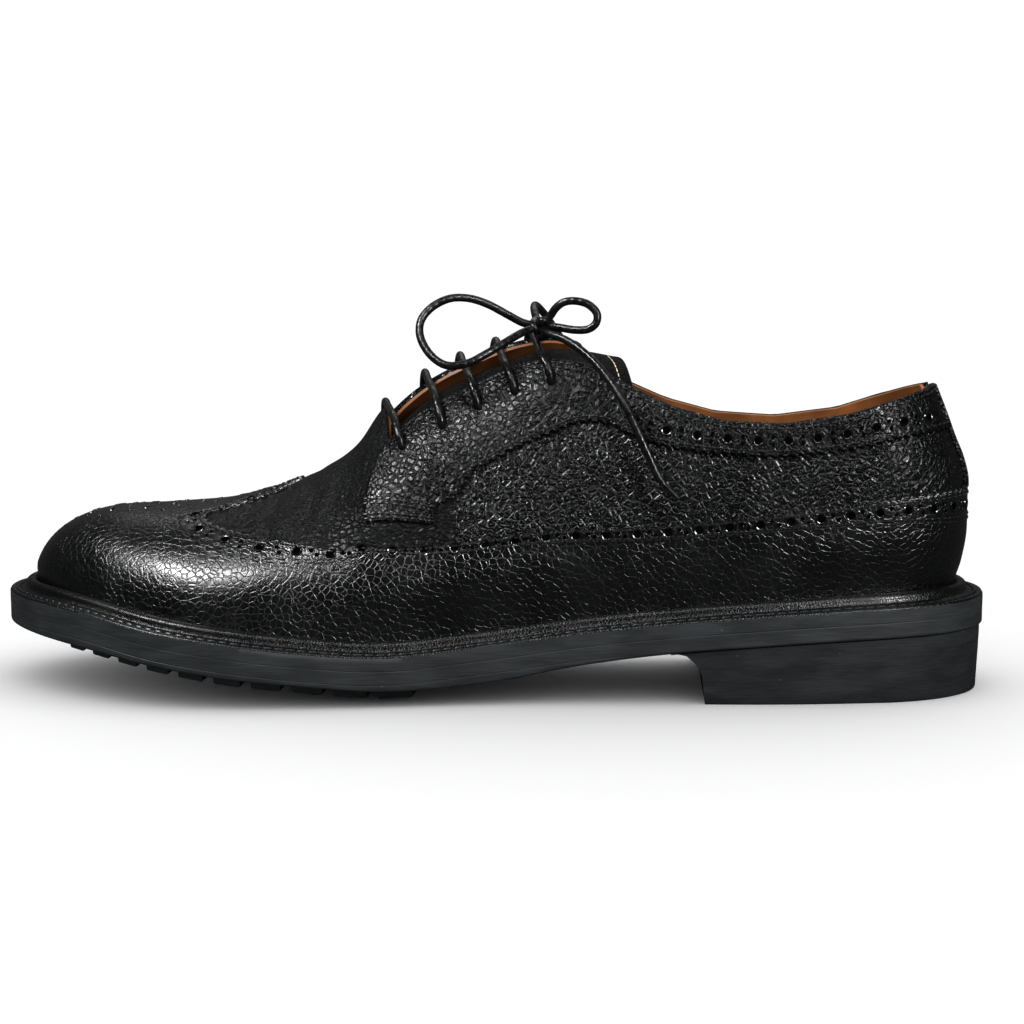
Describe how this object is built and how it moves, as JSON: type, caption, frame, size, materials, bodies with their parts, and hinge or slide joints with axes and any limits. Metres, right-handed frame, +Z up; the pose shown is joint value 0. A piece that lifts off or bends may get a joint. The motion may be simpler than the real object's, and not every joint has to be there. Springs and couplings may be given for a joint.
{
  "type": "full brogue derby shoe",
  "caption": "Left laced leather derby shoe with a long perforated wing, storm welt, lugged rubber sole and block heel.",
  "frame": {"origin": "middle of the shoe's length and width on the floor", "axes": "toe towards -X, heel towards +X, lateral side towards -Y, medial side towards +Y, +Z up"},
  "size_m": [0.312, 0.108, 0.1235],
  "materials": {
    "upper": "pebbled, semi-gloss",
    "wing_overlay": "pebbled, glossy",
    "facing_lateral": "pebbled, semi-gloss",
    "facing_medial": "pebbled, semi-gloss",
    "back_strip": "semi-gloss",
    "tongue": "matte",
    "insole": "smooth, matte",
    "welt": "semi-gloss",
    "outsole": "matte",
    "heel_block": "matte",
    "lace_bar_1": "waxed",
    "lace_bar_2": "waxed",
    "lace_bar_3": "waxed",
    "lace_bar_4": "waxed",
    "lace_bar_5": "waxed",
    "lace_knot": "waxed",
    "lace_loop_front": "waxed",
    "lace_loop_back": "waxed",
    "lace_end_lateral": "waxed",
    "lace_end_medial": "waxed"
  },
  "bodies": {
    "root": {"upper": "upper", "wing_overlay": "wing_overlay", "facing_lateral": "facing_lateral", "facing_medial": "facing_medial", "back_strip": "back_strip", "tongue": "tongue", "insole": "insole", "welt": "welt", "outsole": "outsole", "heel_block": "heel_block", "lace_bar_1": "lace_bar_1", "lace_bar_2": "lace_bar_2", "lace_bar_3": "lace_bar_3", "lace_bar_4": "lace_bar_4", "lace_bar_5": "lace_bar_5", "lace_knot": "lace_knot", "lace_loop_front": "lace_loop_front", "lace_loop_back": "lace_loop_back", "lace_end_lateral": "lace_end_lateral", "lace_end_medial": "lace_end_medial"}
  },
  "joints": []
}
